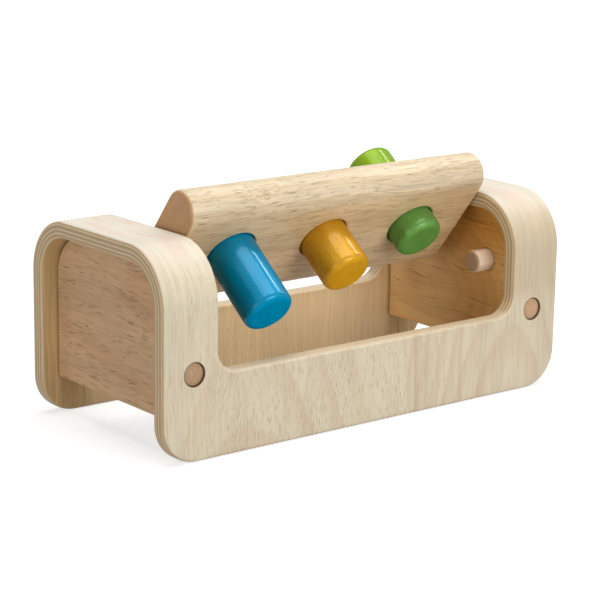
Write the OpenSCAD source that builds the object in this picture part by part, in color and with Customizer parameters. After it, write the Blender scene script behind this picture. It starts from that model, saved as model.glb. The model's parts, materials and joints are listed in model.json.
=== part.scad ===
// Peg pounding bench: a frame of bent plywood with an end panel dowelled into each end,
// and a plank with pegs that turns over on an off-centre pivot between the panels.
// Origin: on the floor at the middle of the frame. X along the bench, front towards -Y, Z up.

/* [Bent frame] */
// Length of the frame, end to end
frame_length = 260; // [230:1:320]
// Depth of the frame, front face to back face
frame_depth = 116.5; // [112:0.5:140]
// Height of the frame, floor to the top of the arches
frame_height = 105; // [100:0.5:125]
// Thickness of the bent plywood
ply = 8.75; // [6.5:0.25:11]
// Outer radius of the two bends
bend_radius = 29; // [20:0.1:36]
// Radius of the lower corners of the walls
foot_radius = 20; // [8:0.5:24]
// Rounding of every sawn edge of the plywood
ply_ease = 1.8; // [0.8:0.1:2.6]

/* [Window] */
// Width of the arch that is left at each end of the window
arch_width = 32.6; // [29:0.2:42]
// Distance from the pivot's axis down to the window's sill, which the pegs swing over
sill_drop = 42.4; // [38:0.2:50]
// Radius of the window's lower corners
window_radius = 11; // [7:0.5:15]

/* [End panels] */
// Thickness of an end panel
panel_thickness = 17.3; // [15:0.1:19]
// Distance from the end of the frame to the outer face of the panel
panel_recess = 9.5; // [4:0.1:11]
// Gap from the floor to the panel
panel_lift = 19.6; // [8:0.2:28]
// How much larger the radius of the panel's upper corners is than the inside of the bends
corner_relief = 3; // [0:0.1:5]
// Rounding of the panel's edges
panel_ease = 1; // [0.4:0.1:2]

/* [Dowels] */
// Diameter of the fixing, pivot and stop dowels
dowel_diameter = 12; // [9:0.5:13]
// Length of a fixing dowel
fixing_length = 38; // [22:1:45]
// Distance from the axis of the stops down to the axis of the fixing dowels
fixing_drop = 23.4; // [18:0.2:30]
// Rounding of a dowel's ends
dowel_ease = 2.1; // [0.5:0.1:2.5]
// Height of the dome on the outer end of a fixing dowel
dowel_dome = 1.1; // [0.4:0.1:2]

/* [Turning plank] */
// Thickness of the plank
plank_thickness = 22.6; // [20:0.1:25]
// Gap between the end of the plank and the side of the window
plank_gap = 1; // [0.6:0.1:4]
// Gap between the plank's long edge and the inside of the wall when the plank lies flat
edge_gap = 0.5; // [0:0.1:4]
// Gap between the plank's short edge and the stops that it turns past
swing_gap = 3.8; // [1:0.1:6]
// Rounding of the edges at the plank's ends
plank_ease = 2.2; // [0.8:0.1:3.5]
// Angle of the plank above its place on the front stops
plank_tilt = 52.1; // [0:0.1:180]

/* [Pivot and stops] */
// Distance from the top of the frame down to the pivot's axis
pivot_drop = 20.2; // [18:0.1:24]
// Depth of the pivot dowel's hole in the plank
pivot_bore_depth = 18; // [10:0.5:20]
// Depth of the holes for the pivot and stop dowels in a panel
socket_depth = 11; // [7:0.5:13]
// Distance from the inside of a wall to the axis of the stop beside it
stop_margin = 19; // [16:0.5:22]
// Length of a stop dowel outside its panel
stop_reach = 11.3; // [10:0.1:22]
// Rounding of the rim of a hole in a panel's inner face
socket_ease = 0.7; // [0.3:0.1:1.5]

/* [Pegs] */
// Diameter of a peg
peg_diameter = 26.4; // [22:0.1:28]
// Length of a peg
peg_length = 58; // [50:0.5:62]
// Rounding of a peg's ends
peg_ease = 3.4; // [1:0.1:5]
// Distance from the left end of the plank to the axis of the blue peg
peg_margin = 35.6; // [34:0.2:46]
// Distance from the middle of the plank's length to the yellow peg, towards the blue peg
peg_row_shift = 1.4; // [0:0.1:4]
// Distance from the middle of the plank's width to the row of pegs, on the side away from the pivot
peg_row_offset = 3.1; // [0:0.1:6]
// How far the middle of the blue peg is pushed through the plank
blue_push = 23.4; // [-24:0.1:24]
// How far the middle of the yellow peg is pushed through the plank
yellow_push = 8.1; // [-24:0.1:24]
// How far the middle of the green peg is pushed through the plank
green_push = -6.1; // [-24:0.1:24]

/* [Peg holes] */
// Gap all round between a peg and the wood of its hole
hole_gap = 0.6; // [0.3:0.05:0.8]
// Rounding of a hole's rims
rim_ease = 1; // [0.5:0.1:2]
// Depth of the groove that holds a grip ring
groove_depth = 2.2; // [1.5:0.1:3]
// Height of a grip ring and its groove
ring_height = 5; // [3:0.2:8]
// Rounding of the edges of a grip ring
ring_ease = 0.6; // [0.2:0.1:1]

/* [Hidden] */
$fn = 64;

// Gap of a turning or sliding fit, all round
running_fit = 0.05;
// Gap between the plank and the stop that it rests on
stop_gap = 0.25;
// Air left at the blind end of a dowel's hole
glue_room = 1;
// How far a cut runs past the face that it opens
overrun = 1;

wall_y = (frame_depth - ply) / 2;
bend_z = frame_height - bend_radius;
pivot_height = frame_height - pivot_drop;
sill_height = pivot_height - sill_drop;
window_half = frame_length / 2 - arch_width;
arch_x = (frame_length - arch_width) / 2;
corner_web = window_radius + ply_ease;

panel_width = frame_depth - 2 * ply;
panel_top = frame_height - ply;
panel_corner = bend_radius - ply + corner_relief;
panel_bend_z = panel_top - panel_corner;
panel_x = frame_length / 2 - panel_recess - panel_thickness / 2;
panel_face_x = panel_x - panel_thickness / 2;

dowel_radius = dowel_diameter / 2;
dome_radius = (dowel_radius * dowel_radius / dowel_dome + dowel_dome) / 2;
stop_drop = plank_thickness / 2 + stop_gap + dowel_radius;
stop_height = pivot_height - stop_drop;
stop_y = panel_width / 2 - stop_margin;
fixing_height = stop_height - fixing_drop;

plank_half = window_half - plank_gap;
long_arm = panel_width / 2 - edge_gap;
short_arm = norm([stop_y, stop_drop]) - dowel_radius - swing_gap;
plank_width = long_arm + short_arm;
pivot_offset = (long_arm - short_arm) / 2;
pivot_length = panel_face_x + socket_depth - plank_half + pivot_bore_depth - 2 * glue_room;
pivot_x = plank_half - pivot_bore_depth + glue_room + pivot_length / 2;
stop_length = stop_reach + socket_depth - glue_room;

hole_radius = peg_diameter / 2 + hole_gap;
groove_radius = hole_radius + groove_depth;
ring_bore = peg_diameter / 2 + running_fit;
ring_width = groove_radius - ring_bore;
peg_pitch = plank_half - peg_margin - peg_row_shift;
peg_row_y = -pivot_offset - peg_row_offset;

WOOD_PALE = "#e6d6b4";
WOOD_PANEL = "#c9a883";
WOOD_PLANK = "#d3b98e";
WOOD_DOWEL = "#c79f78";
RUBBER = "#3a3632";
PAINT_BLUE = "#0f86b4";
PAINT_YELLOW = "#dda132";
PAINT_GREEN = "#74b338";

// A centred rectangle with round corners
module rounded_rect(width, height, radius) {
    square([width - 2 * radius, height], center = true);
    square([width, height - 2 * radius], center = true);
    for (x = [-1, 1], y = [-1, 1])
        translate([x * (width / 2 - radius), y * (height / 2 - radius)])
            circle(radius);
}

// The right half of a rounded rectangle, to be turned round its left side
module half_rounded_rect(width, height, radius) {
    intersection() {
        rounded_rect(width, height, radius);
        translate([0, -height / 2])
            square([width / 2, height]);
    }
}

// A round rod along Z with eased ends, centred
module rod(diameter, length, ease) {
    rotate_extrude()
        half_rounded_rect(diameter, length, ease);
}

// A rod along Z with a domed upper end, centred
module domed_rod(diameter, length, ease) {
    rotate_extrude()
        intersection() {
            union() {
                half_rounded_rect(diameter, length, ease);
                square([diameter / 2, length / 2]);
            }
            translate([0, length / 2 - dome_radius])
                circle(dome_radius);
        }
}

// A round rod along X with eased ends, centred
module rod_x(diameter, length, ease) {
    rotate([0, 90, 0])
        rod(diameter, length, ease);
}

// What follows, once at the right end (side 1) or mirrored at the left end (side -1)
module at_end(side) {
    mirror([side < 0 ? 1 : 0, 0, 0])
        children();
}

// What follows, at the back (side 1) or mirrored to the front (side -1)
module at_wall(side) {
    mirror([0, side < 0 ? 1 : 0, 0])
        children();
}

// A quarter turn of a section about an axis along Y, from straight down round to +X
module quarter_down() {
    rotate([90, 0, 0])
        rotate([0, 0, -90])
            rotate_extrude(angle = 90)
                children();
}

// The straight beam below the window
module wall_beam() {
    translate([0, wall_y, sill_height / 2])
        rotate([90, 0, 90])
            linear_extrude(frame_length - 2 * foot_radius, center = true)
                rounded_rect(ply, sill_height, ply_ease);
}

// The upright leg of an arch
module wall_post() {
    translate([arch_x, wall_y, foot_radius])
        linear_extrude(bend_z - foot_radius)
            rounded_rect(arch_width, ply, ply_ease);
}

// The round lower corner of a wall
module foot_corner() {
    translate([frame_length / 2 - foot_radius, wall_y, foot_radius])
        quarter_down()
            half_rounded_rect(2 * foot_radius, ply, ply_ease);
}

// The hollow corner between the sill and the arch
module window_corner() {
    translate([window_half - window_radius, wall_y, sill_height + window_radius])
        quarter_down()
            translate([window_radius + corner_web / 2, 0])
                rounded_rect(corner_web, ply, ply_ease);
}

// The bend from a wall to the top of an arch
module arch_bend() {
    translate([arch_x, frame_depth / 2 - bend_radius, bend_z])
        rotate([90, 0, 90])
            rotate_extrude(angle = 90)
                translate([bend_radius - ply / 2, 0])
                    rounded_rect(ply, arch_width, ply_ease);
}

// The flat top of an arch
module arch_top() {
    translate([arch_x, 0, frame_height - ply / 2])
        rotate([90, 0, 0])
            linear_extrude(frame_depth - 2 * bend_radius, center = true)
                rounded_rect(arch_width, ply, ply_ease);
}

// The hole for a fixing dowel, through the wall and into the panel
module fixing_hole() {
    hole_length = fixing_length + glue_room + overrun;
    translate([panel_x, frame_depth / 2 + overrun, fixing_height])
        rotate([90, 0, 0])
            cylinder(h = hole_length, r = dowel_radius);
}

// One sheet of plywood bent to an upside-down U, with the window cut across front, top and back
module bent_ply_frame() {
    color(WOOD_PALE)
        difference() {
            union() {
                for (wall = [-1, 1])
                    at_wall(wall) {
                        wall_beam();
                        for (end = [-1, 1])
                            at_end(end) {
                                wall_post();
                                foot_corner();
                                window_corner();
                                arch_bend();
                            }
                    }
                for (end = [-1, 1])
                    at_end(end)
                        arch_top();
            }
            for (wall = [-1, 1], end = [-1, 1])
                at_wall(wall)
                    at_end(end)
                        fixing_hole();
        }
}

// The board of an end panel, shaped to the inside of the frame, with eased edges
module panel_board() {
    panel_height = panel_top - panel_lift;
    translate([panel_x, 0, 0])
        intersection() {
            union() {
                translate([0, 0, panel_lift])
                    linear_extrude(panel_bend_z - panel_lift)
                        rounded_rect(panel_thickness, panel_width, panel_ease);
                translate([0, 0, panel_lift + panel_height / 2])
                    rotate([90, 0, 0])
                        linear_extrude(panel_width - 2 * panel_corner, center = true)
                            rounded_rect(panel_thickness, panel_height, panel_ease);
                for (wall = [-1, 1])
                    at_wall(wall)
                        translate([0, panel_width / 2 - panel_corner, panel_bend_z])
                            rotate([90, 0, 90])
                                rotate_extrude(angle = 90)
                                    half_rounded_rect(2 * panel_corner, panel_thickness, panel_ease);
            }
            translate([0, 0, panel_lift + panel_height / 2])
                rotate([90, 0, 0])
                    linear_extrude(panel_width + 2 * overrun, center = true)
                        rounded_rect(panel_thickness, panel_height, panel_ease);
        }
}

// The flare that rounds the rim of a hole, as a section beside the hole's axis
module rim_section(radius, ease) {
    difference() {
        square([radius + ease, ease + overrun]);
        translate([radius + ease, 0])
            circle(ease);
    }
}

// A blind hole in the inner face of a panel
module panel_socket(y, z) {
    translate([panel_face_x, y, z])
        rotate([0, -90, 0]) {
            translate([0, 0, -socket_depth])
                cylinder(h = socket_depth + overrun, r = dowel_radius);
            translate([0, 0, -socket_ease])
                rotate_extrude()
                    rim_section(dowel_radius, socket_ease);
        }
}

module end_panel(side) {
    color(WOOD_PANEL)
        at_end(side)
            difference() {
                panel_board();
                for (wall = [-1, 1])
                    at_wall(wall) {
                        fixing_hole();
                        panel_socket(stop_y, stop_height);
                    }
                panel_socket(0, pivot_height);
            }
}

module fixing_dowel(end, wall) {
    color(WOOD_DOWEL)
        at_end(end)
            at_wall(wall)
                translate([panel_x, (frame_depth - fixing_length) / 2, fixing_height])
                    rotate([-90, 0, 0])
                        domed_rod(dowel_diameter, fixing_length, dowel_ease);
}

module pivot_dowel(end) {
    color(WOOD_DOWEL)
        at_end(end)
            translate([pivot_x, 0, pivot_height])
                rod_x(dowel_diameter, pivot_length, dowel_ease);
}

module stop_dowel(end, wall) {
    color(WOOD_DOWEL)
        at_end(end)
            at_wall(wall)
                translate([panel_face_x - stop_reach + stop_length / 2, stop_y, stop_height])
                    rod_x(dowel_diameter, stop_length, dowel_ease);
}

// What follows is drawn lying on the front stops with the pivot at the origin, then tilted into place
module on_pivot() {
    translate([0, 0, pivot_height])
        rotate([-plank_tilt, 0, 0])
            children();
}

// The plank before it is drilled: a flat middle with a full round along each long edge
module plank_blank() {
    flat_width = plank_width - plank_thickness;
    translate([0, -pivot_offset, 0]) {
        rotate([90, 0, 0])
            linear_extrude(flat_width, center = true)
                rounded_rect(2 * plank_half, plank_thickness, plank_ease);
        for (edge = [-1, 1])
            translate([0, edge * flat_width / 2, 0])
                rod_x(plank_thickness, 2 * plank_half, plank_ease);
    }
}

// Everything that is cut away for one peg: the hole, its two rounded rims and the ring's groove
module peg_hole() {
    hole_length = plank_thickness + 2 * overrun;
    cylinder(h = hole_length, r = hole_radius, center = true);
    cylinder(h = ring_height, r = groove_radius, center = true);
    for (face = [-1, 1])
        mirror([0, 0, face < 0 ? 1 : 0])
            translate([0, 0, plank_thickness / 2 - rim_ease])
                rotate_extrude()
                    rim_section(hole_radius, rim_ease);
}

// What follows, at the place of one peg: -1 blue, 0 yellow, 1 green
module at_peg(place) {
    translate([place * peg_pitch - peg_row_shift, peg_row_y, 0])
        children();
}

module turning_plank() {
    color(WOOD_PLANK)
        on_pivot()
            difference() {
                plank_blank();
                for (place = [-1, 0, 1])
                    at_peg(place)
                        peg_hole();
                for (end = [-1, 1])
                    at_end(end)
                        translate([plank_half - pivot_bore_depth, 0, 0])
                            rotate([0, 90, 0])
                                cylinder(h = pivot_bore_depth + overrun, r = dowel_radius + running_fit);
            }
}

module grip_ring(place) {
    color(RUBBER)
        on_pivot()
            at_peg(place)
                rotate_extrude()
                    translate([ring_bore + ring_width / 2, 0])
                        rounded_rect(ring_width, ring_height, ring_ease);
}

module peg(place, push, paint) {
    color(paint)
        on_pivot()
            at_peg(place)
                translate([0, 0, -push])
                    rod(peg_diameter, peg_length, peg_ease);
}

bent_ply_frame();
end_panel(-1);  // left_end_panel
end_panel(1);  // right_end_panel
fixing_dowel(-1, -1);  // front_left_fixing_dowel
fixing_dowel(1, -1);  // front_right_fixing_dowel
fixing_dowel(-1, 1);  // back_left_fixing_dowel
fixing_dowel(1, 1);  // back_right_fixing_dowel
pivot_dowel(-1);  // left_pivot_dowel
pivot_dowel(1);  // right_pivot_dowel
stop_dowel(-1, -1);  // front_left_stop_dowel
stop_dowel(1, -1);  // front_right_stop_dowel
stop_dowel(-1, 1);  // back_left_stop_dowel
stop_dowel(1, 1);  // back_right_stop_dowel
turning_plank();
grip_ring(-1);  // blue_grip_ring
grip_ring(0);  // yellow_grip_ring
grip_ring(1);  // green_grip_ring
peg(-1, blue_push, PAINT_BLUE);  // blue_peg
peg(0, yellow_push, PAINT_YELLOW);  // yellow_peg
peg(1, green_push, PAINT_GREEN);  // green_peg
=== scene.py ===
"""Dress a peg pounding bench in wood, paint and rubber, and set it in a plain studio.

The solids of the bench come in as a fixed frame, in metres. +X runs along the bench to the end with
the green peg, -Y is the front and +Z is up. Every finish is worked out from the place of a point in
that frame, so it stays on its piece when the piece moves. Finishes count in millimetres.
"""

from __future__ import annotations

import json
import logging
import math
from dataclasses import dataclass
from enum import Enum
from typing import Any, Dict, List, Mapping, Optional, Tuple, Union

import bmesh
import bpy
from mathutils import Matrix, Vector

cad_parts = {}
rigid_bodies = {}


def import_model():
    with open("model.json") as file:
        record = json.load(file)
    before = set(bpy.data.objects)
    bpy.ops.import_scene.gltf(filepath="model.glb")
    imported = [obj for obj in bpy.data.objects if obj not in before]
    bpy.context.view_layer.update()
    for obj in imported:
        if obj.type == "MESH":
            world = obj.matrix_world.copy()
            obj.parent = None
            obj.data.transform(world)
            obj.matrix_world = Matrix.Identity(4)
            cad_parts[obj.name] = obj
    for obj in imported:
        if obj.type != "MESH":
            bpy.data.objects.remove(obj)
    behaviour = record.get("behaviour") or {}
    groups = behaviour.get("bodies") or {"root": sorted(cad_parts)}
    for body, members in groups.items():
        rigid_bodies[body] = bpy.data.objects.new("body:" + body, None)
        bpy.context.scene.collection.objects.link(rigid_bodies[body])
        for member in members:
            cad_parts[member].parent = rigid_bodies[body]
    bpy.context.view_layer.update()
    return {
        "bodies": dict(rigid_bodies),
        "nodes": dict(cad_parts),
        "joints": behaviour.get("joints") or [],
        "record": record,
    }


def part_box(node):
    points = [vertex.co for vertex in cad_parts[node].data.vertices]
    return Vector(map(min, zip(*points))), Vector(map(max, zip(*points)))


LOG = logging.getLogger("pounding_bench")

Colour = Tuple[float, float, float]
Point = Tuple[float, float, float]
Fade = Tuple[float, float]  # Where something starts to show, and where it shows in full
Number = Union[float, "Socket"]
Nodes = Mapping[str, bpy.types.Object]
Frame = Mapping[str, Any]

MM = 0.001
MIDDLE = 0.5  # What a cloudy pattern gives on average
BLACK: Colour = (0.0, 0.0, 0.0)

# The curve that screens show colours by
BRIGHTEST = 255.0
CURVE_KNEE = 0.04045
CURVE_SLOPE = 12.92
CURVE_LIFT = 0.055
CURVE_POWER = 2.4


def seen(red: int, green: int, blue: int) -> Colour:
    """Turn a colour as the eye reads it, 0 to 255, into the light that it stands for.

    Args:
        red: Red of the colour.
        green: Green of the colour.
        blue: Blue of the colour.

    Returns:
        The three shares of light, from 0 to 1.
    """

    def light(channel: int) -> float:
        """Turn one channel into light.

        Args:
            channel: The channel, from 0 to 255.

        Returns:
            Its share of light, from 0 to 1.
        """
        share = channel / BRIGHTEST
        if share <= CURVE_KNEE:
            return share / CURVE_SLOPE
        return ((share + CURVE_LIFT) / (1 + CURVE_LIFT)) ** CURVE_POWER

    return (light(red), light(green), light(blue))


class Socket:
    """A value in a finish; arithmetic on it adds Math nodes."""

    def __init__(self, shader: "Shader", socket: bpy.types.NodeSocket) -> None:
        """Keep the finish and the output that the value comes from."""
        self.shader = shader
        self.socket = socket

    def __add__(self, other: Number) -> "Socket":
        """Add a value or a number."""
        return self.shader.math("ADD", self, other)

    def __radd__(self, other: Number) -> "Socket":
        """Add this value to a number."""
        return self.shader.math("ADD", other, self)

    def __sub__(self, other: Number) -> "Socket":
        """Take off a value or a number."""
        return self.shader.math("SUBTRACT", self, other)

    def __rsub__(self, other: Number) -> "Socket":
        """Take this value off a number."""
        return self.shader.math("SUBTRACT", other, self)

    def __mul__(self, other: Number) -> "Socket":
        """Multiply by a value or a number."""
        return self.shader.math("MULTIPLY", self, other)

    def __rmul__(self, other: Number) -> "Socket":
        """Multiply a number by this value."""
        return self.shader.math("MULTIPLY", other, self)

    def __truediv__(self, other: Number) -> "Socket":
        """Divide by a value or a number."""
        return self.shader.math("DIVIDE", self, other)

    def __rtruediv__(self, other: Number) -> "Socket":
        """Divide a number by this value."""
        return self.shader.math("DIVIDE", other, self)

    def __pow__(self, other: Number) -> "Socket":
        """Raise to a power."""
        return self.shader.math("POWER", self, other)

    def __abs__(self) -> "Socket":
        """Drop the sign."""
        return self.shader.math("ABSOLUTE", self)

    def at_least(self, other: Number) -> "Socket":
        """Take the greater of this value and another."""
        return self.shader.math("MAXIMUM", self, other)

    def at_most(self, other: Number) -> "Socket":
        """Take the lesser of this value and another."""
        return self.shader.math("MINIMUM", self, other)

    def sign(self) -> "Socket":
        """Give -1, 0 or 1."""
        return self.shader.math("SIGN", self)

    def fraction(self) -> "Socket":
        """Keep only what is past the whole number."""
        return self.shader.math("FRACT", self)

    def hypot(self, other: "Socket") -> "Socket":
        """Give the length of the diagonal over this value and another."""
        return (self * self + other * other) ** 0.5

    def step(self, low: float, high: float) -> "Socket":
        """Go smoothly from 0 at low to 1 at high, which may be the lesser of the two."""
        ends = {"Value": self, "From Min": low, "From Max": high}
        return self.shader.node("ShaderNodeMapRange", {"interpolation_type": "SMOOTHSTEP"}, ends)

    def other(self, name: str) -> "Socket":
        """Give another output of the node that this value comes from."""
        return Socket(self.shader, self.socket.node.outputs[name])


Look = Union[Colour, Socket]


class Shader:
    """The node tree of one finish, of the floor or of the world."""

    def __init__(self, owner: Union[bpy.types.Material, bpy.types.World]) -> None:
        """Start from an empty tree.

        Args:
            owner: The material or the world that the tree belongs to.
        """
        owner.use_nodes = True
        self.owner = owner
        self.tree = owner.node_tree
        self.tree.nodes.clear()

    def node(
        self,
        kind: str,
        settings: Optional[Dict[str, Any]] = None,
        sockets: Optional[Dict[Union[str, int], Any]] = None,
        output: Union[str, int] = 0,
    ) -> Socket:
        """Add one node.

        Args:
            kind: The node's type.
            settings: Its options, which are set first, such as an operation.
            sockets: Numbers, colours or values for its inputs, by name or number.
            output: The output that is wanted.

        Returns:
            That output as a value.
        """
        made = self.tree.nodes.new(kind)
        for name, setting in (settings or {}).items():
            setattr(made, name, setting)
        for name, given in (sockets or {}).items():
            if isinstance(given, Socket):
                self.tree.links.new(given.socket, made.inputs[name])
            elif isinstance(given, tuple) and made.inputs[name].type == "RGBA":
                made.inputs[name].default_value = (*given, 1.0)
            else:
                made.inputs[name].default_value = given
        return Socket(self, made.outputs[output]) if made.outputs else Socket(self, made.inputs[0])

    def math(self, operation: str, *operands: Number) -> Socket:
        """Add one Math node."""
        return self.node("ShaderNodeMath", {"operation": operation}, dict(enumerate(operands)))

    def place(self) -> Tuple[Socket, Socket, Socket]:
        """Give where a point of the piece lies.

        Returns:
            Its x, y and z in millimetres.
        """
        metres = self.node("ShaderNodeTexCoord", {}, {}, "Object")
        scaled = self.node("ShaderNodeVectorMath", {"operation": "SCALE"}, {0: metres, "Scale": 1 / MM})
        split = self.node("ShaderNodeSeparateXYZ", {}, {0: scaled})
        return split, split.other("Y"), split.other("Z")

    def vector(self, x: Number, y: Number, z: Number) -> Socket:
        """Join three values."""
        return self.node("ShaderNodeCombineXYZ", {}, {0: x, 1: y, 2: z})

    def noise(self, where: Socket, detail: float = 2.0, roughness: float = 0.5) -> Socket:
        """Give a cloudy pattern from 0 to 1, about a half on average."""
        sockets = {"Vector": where, "Scale": 1.0, "Detail": detail, "Roughness": roughness}
        return self.node("ShaderNodeTexNoise", {}, sockets)

    def mix(self, share: Number, under: Look, over: Look, blend: str = "MIX") -> Socket:
        """Lay one colour over another.

        Args:
            share: How much of the upper colour shows.
            under: The lower colour.
            over: The upper colour, or a value, which counts as a grey.
            blend: How the two are put together.

        Returns:
            The colour that comes of it.
        """
        settings = {"data_type": "RGBA", "blend_type": blend, "clamp_factor": True}
        return self.node("ShaderNodeMix", settings, {0: share, 6: under, 7: over}, 2)

    def shade(self, colour: Look, grey: Socket) -> Socket:
        """Multiply a colour by a value."""
        return self.mix(1.0, colour, grey, "MULTIPLY")

    def bump(self, height: Socket, deep: float) -> Socket:
        """Turn a height from 0 to 1 into a relief that many millimetres deep."""
        return self.node("ShaderNodeBump", {}, {"Height": height, "Strength": 1.0, "Distance": deep * MM})

    def surface(self, base: Look, roughness: Number, relief: Optional[Socket], **fixed: Any) -> None:
        """End a finish in its surface.

        Args:
            base: Base colour.
            roughness: Roughness of the surface.
            relief: Its small relief, if it has any.
            fixed: Values that are the same all over, by the socket's name with _ for a space.
        """
        sockets: Dict[Union[str, int], Any] = {"Base Color": base, "Roughness": roughness}
        if relief is not None:
            sockets["Normal"] = relief
        sockets.update({name.replace("_", " "): number for name, number in fixed.items()})
        self.output(self.node("ShaderNodeBsdfPrincipled", {}, sockets))

    def output(self, shader: Socket) -> None:
        """Send a shader to the tree's output."""
        kind = "World" if isinstance(self.owner, bpy.types.World) else "Material"
        self.node("ShaderNodeOutput" + kind, {}, {"Surface": shader})


@dataclass(frozen=True)
class Grain:
    """The place of a point in a piece of wood, in millimetres.

    Attributes:
        along: Along the grain.
        across: Across the grain, over the face.
        depth: In from the face.
    """

    along: Socket
    across: Socket
    depth: Socket

    def cells(self, along: float, across: float, depth: float) -> Socket:
        """Measure the place in cells of the given lengths."""
        shader = self.along.shader
        return shader.vector(self.across / across, self.along / along, self.depth / depth)

    def wavy(self, sway: float, along: float, across: float) -> "Grain":
        """Let the grain sway from straight.

        Args:
            sway: How far it sways to either side.
            along: Length of a wave along the grain.
            across: Distance across the grain over which the waves change.

        Returns:
            The place in the swaying wood.
        """
        drift = Clouds(along, across, detail=1.0).tone(self)
        return Grain(self.along, self.across + drift * (2 * sway), self.depth)


@dataclass(frozen=True)
class Clouds:
    """A cloudy pattern in the wood, drawn out along the grain.

    Attributes:
        along: Length of a cloud along the grain.
        across: Width of a cloud.
        detail: Number of finer layers.
        roughness: Strength of the finer layers.
        deep: Size of a cloud in depth, where it isn't the width.
    """

    along: float
    across: float
    detail: float = 2.0
    roughness: float = 0.5
    deep: Optional[float] = None

    def over(self, grain: Grain) -> Socket:
        """Give the pattern, from 0 to 1."""
        cells = grain.cells(self.along, self.across, self.deep or self.across)
        return grain.along.shader.noise(cells, self.detail, self.roughness)

    def tone(self, grain: Grain) -> Socket:
        """Give the pattern as darker and lighter, about 0 on average."""
        return self.over(grain) - MIDDLE


@dataclass(frozen=True)
class Pores:
    """Open vessels that the surface cuts: short dark dashes along the grain.

    Attributes:
        along: Spacing along the grain.
        across: Spacing across the grain.
        size: Share of the spacing that a pore fills, out from its middle.
        kept: Share of the pores that show.
        patch: Size of the patches that they gather in, across the grain.
    """

    along: float
    across: float
    size: float
    kept: float
    patch: float

    def mask(self, grain: Grain) -> Socket:
        """Find the pores.

        Args:
            grain: Place in the wood.

        Returns:
            1 in a pore, 0 outside.
        """
        smallest, spread, core = 0.6, 0.8, 0.65
        drawn_out, blur = 5, 0.08
        shader = grain.along.shader
        cell = grain.cells(self.along, self.across, self.across)
        reach = shader.node("ShaderNodeTexVoronoi", {}, {"Vector": cell, "Scale": 1.0})
        chance = shader.node("ShaderNodeSeparateColor", {}, {0: reach.other("Color")})
        grown = reach / (chance.other("Green") * spread + smallest)
        patch = Clouds(self.patch * drawn_out, self.patch, detail=1.0).tone(grain)
        left_out = 1 - self.kept
        shown = (chance + patch).step(left_out - blur, left_out + blur)
        return grown.step(self.size, self.size * core) * shown


@dataclass(frozen=True)
class Hairs:
    """Hairlines: fine dark strokes along the grain, close together.

    Attributes:
        along: Usual length of a stroke.
        across: Usual spacing across the grain.
        cut: How much has to come together for a stroke to show; higher leaves fewer.
        patch: Size of the patches in which they are denser, across the grain.
        strength: How dark a stroke is, beside a pore.
    """

    along: float
    across: float
    cut: float
    patch: float
    strength: float = 0.4

    def mask(self, grain: Grain) -> Socket:
        """Find the hairlines.

        Args:
            grain: Place in the wood.

        Returns:
            The strength in the middle of a stroke, 0 outside.
        """
        drawn_out, gathered, blur = 4, 0.3, 0.14
        stroke = Clouds(self.along, self.across, detail=1.0, roughness=0.4).over(grain)
        patch = Clouds(self.patch * drawn_out, self.patch, detail=1.0).tone(grain)
        return (stroke + patch * gathered).step(self.cut, self.cut + blur) * self.strength


Layers = Tuple[Union[Pores, Hairs], ...]


def open_pores(layers: Layers, grain: Grain) -> Socket:
    """Lay several kinds of pores together.

    Args:
        layers: The kinds of pores.
        grain: Place in the wood.

    Returns:
        1 in a pore of any kind, 0 outside.
    """
    masks = [layer.mask(grain) for layer in layers]
    joined = masks[0]
    for mask in masks[1:]:
        joined = joined.at_least(mask)
    return joined


def surface_height(fibre: Socket, pores: Socket, fibrous: float = 0.25) -> Socket:
    """Work out the height of a wooden surface.

    Args:
        fibre: Pattern of the fibres.
        pores: 1 in a pore.
        fibrous: Share of the relief that the fibres make; the pores make the rest.

    Returns:
        The height, from 0 to 1.
    """
    return fibre * fibrous + (1 - pores) * (1 - fibrous)


@dataclass(frozen=True)
class Rings:
    """Growth rings about the tree's heart, which lies beside or behind the piece.

    Attributes:
        heart: Place of the heart across the grain and in depth.
        spacing: Width of a ring.
        lean: How far a ring moves out for each millimetre along the grain.
        wander: How far a ring strays from round.
        wave: Length across the grain and along it over which it strays.
        crest: Place along the grain where the rings come nearest to the face.
        bow: How fast they fall away from there.
    """

    heart: Tuple[float, float]
    spacing: float
    lean: float
    wander: float
    wave: Tuple[float, float]
    crest: float = 0.0
    bow: float = 0.0

    def count(self, grain: Grain) -> Socket:
        """Count the rings from the heart.

        Args:
            grain: Place in the wood.

        Returns:
            The number of rings, with its fraction.
        """
        across, along = self.wave
        stray = Clouds(along, across).tone(grain)
        reach = (grain.across - self.heart[0]).hypot(grain.depth - self.heart[1])
        if self.bow:
            reach = reach + (grain.along - self.crest) ** 2.0 * self.bow
        return (reach + grain.along * self.lean + stray * (2 * self.wander)) / self.spacing

    def late_wood(self, grain: Grain) -> Socket:
        """Find the darker wood late in each ring.

        Args:
            grain: Place in the wood.

        Returns:
            0 in early wood, up to 1 in late wood.
        """
        start, peak = 0.25, 0.9
        part = self.count(grain).fraction()
        return part.step(start, peak) * part.step(1.0, peak)


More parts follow.
